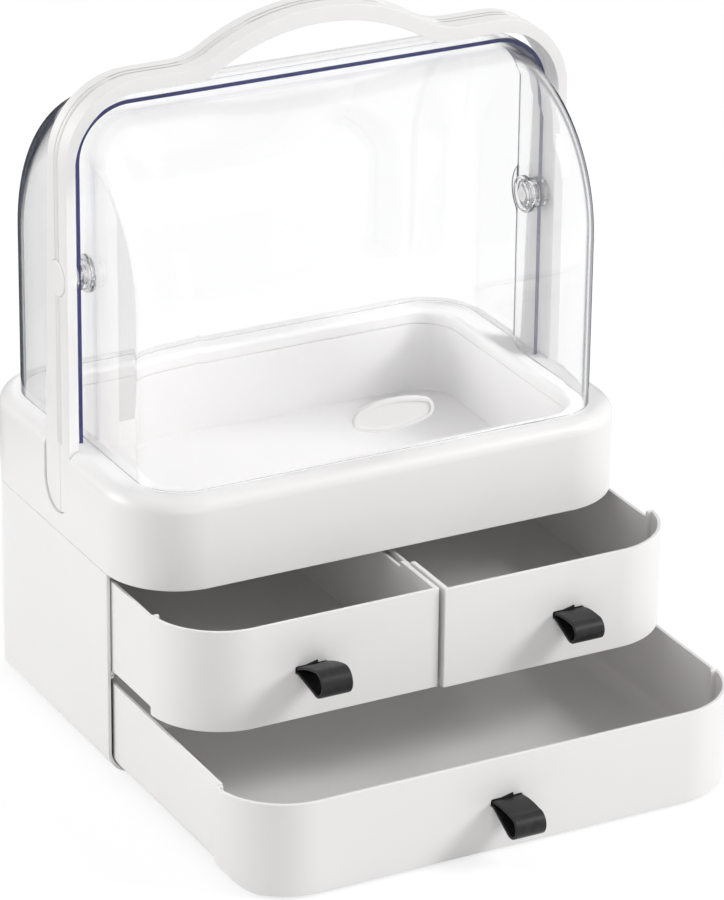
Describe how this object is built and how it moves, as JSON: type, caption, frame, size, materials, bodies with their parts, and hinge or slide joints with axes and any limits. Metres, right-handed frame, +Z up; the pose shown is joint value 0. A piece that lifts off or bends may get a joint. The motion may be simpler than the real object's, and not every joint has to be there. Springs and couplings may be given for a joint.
{
  "type": "dustproof makeup organizer",
  "caption": "Upright vanity box: white cabinet with sliding drawers, open tray under a clear two-piece cover, and a carrying arch.",
  "frame": {"origin": "middle of the body's footprint, on the surface it stands on", "axes": "+X to the right seen from the front, +Y to the back, +Z up"},
  "size_m": [0.29, 0.3463, 0.382],
  "materials": {
    "white_plastic": "satin",
    "clear_plastic": "gloss",
    "black_strap": "satin",
    "steel": "satin",
    "foot_pad": "matte"
  },
  "bodies": {
    "cabinet": {"cabinet_shell": "white_plastic", "drawer_shelf": "white_plastic", "centre_divider": "white_plastic", "base_feet": "foot_pad", "upper_tray": "white_plastic", "tray_tub": "white_plastic", "tray_screws": "steel", "handle_front_shell": "white_plastic", "handle_rear_shell": "white_plastic", "handle_screws": "steel", "left_pivot_pin": "white_plastic", "right_pivot_pin": "white_plastic", "left_pivot_cap": "white_plastic", "right_pivot_cap": "white_plastic", "left_pivot_spacers": "clear_plastic", "right_pivot_spacers": "clear_plastic", "left_pivot_boss": "clear_plastic", "right_pivot_boss": "clear_plastic", "rear_cover": "clear_plastic"},
    "front_lid": {"front_cover": "clear_plastic", "cover_tab": "white_plastic"},
    "left_drawer_group": {"left_drawer": "white_plastic", "left_pull": "black_strap", "left_pull_clip": "white_plastic"},
    "right_drawer_group": {"right_drawer": "white_plastic", "right_pull": "black_strap", "right_pull_clip": "white_plastic"},
    "lower_drawer_group": {"lower_drawer": "white_plastic", "lower_pull": "black_strap", "lower_pull_clip": "white_plastic"}
  },
  "joints": [
    {"name": "front_cover_hinge", "type": "hinge", "parent": "cabinet", "child": "front_lid", "pos_m": [0, -0.005, 0.256], "axis": [-1, 0, 0], "range_deg": [0, 100]},
    {"name": "left_drawer_slide", "type": "slide", "parent": "cabinet", "child": "left_drawer_group", "axis": [0, -1, 0], "range_m": [-0.0497, 0.0703]},
    {"name": "right_drawer_slide", "type": "slide", "parent": "cabinet", "child": "right_drawer_group", "axis": [0, -1, 0], "range_m": [-0.0525, 0.0675]},
    {"name": "lower_drawer_slide", "type": "slide", "parent": "cabinet", "child": "lower_drawer_group", "axis": [0, -1, 0], "range_m": [-0.121, 0.011]}
  ]
}
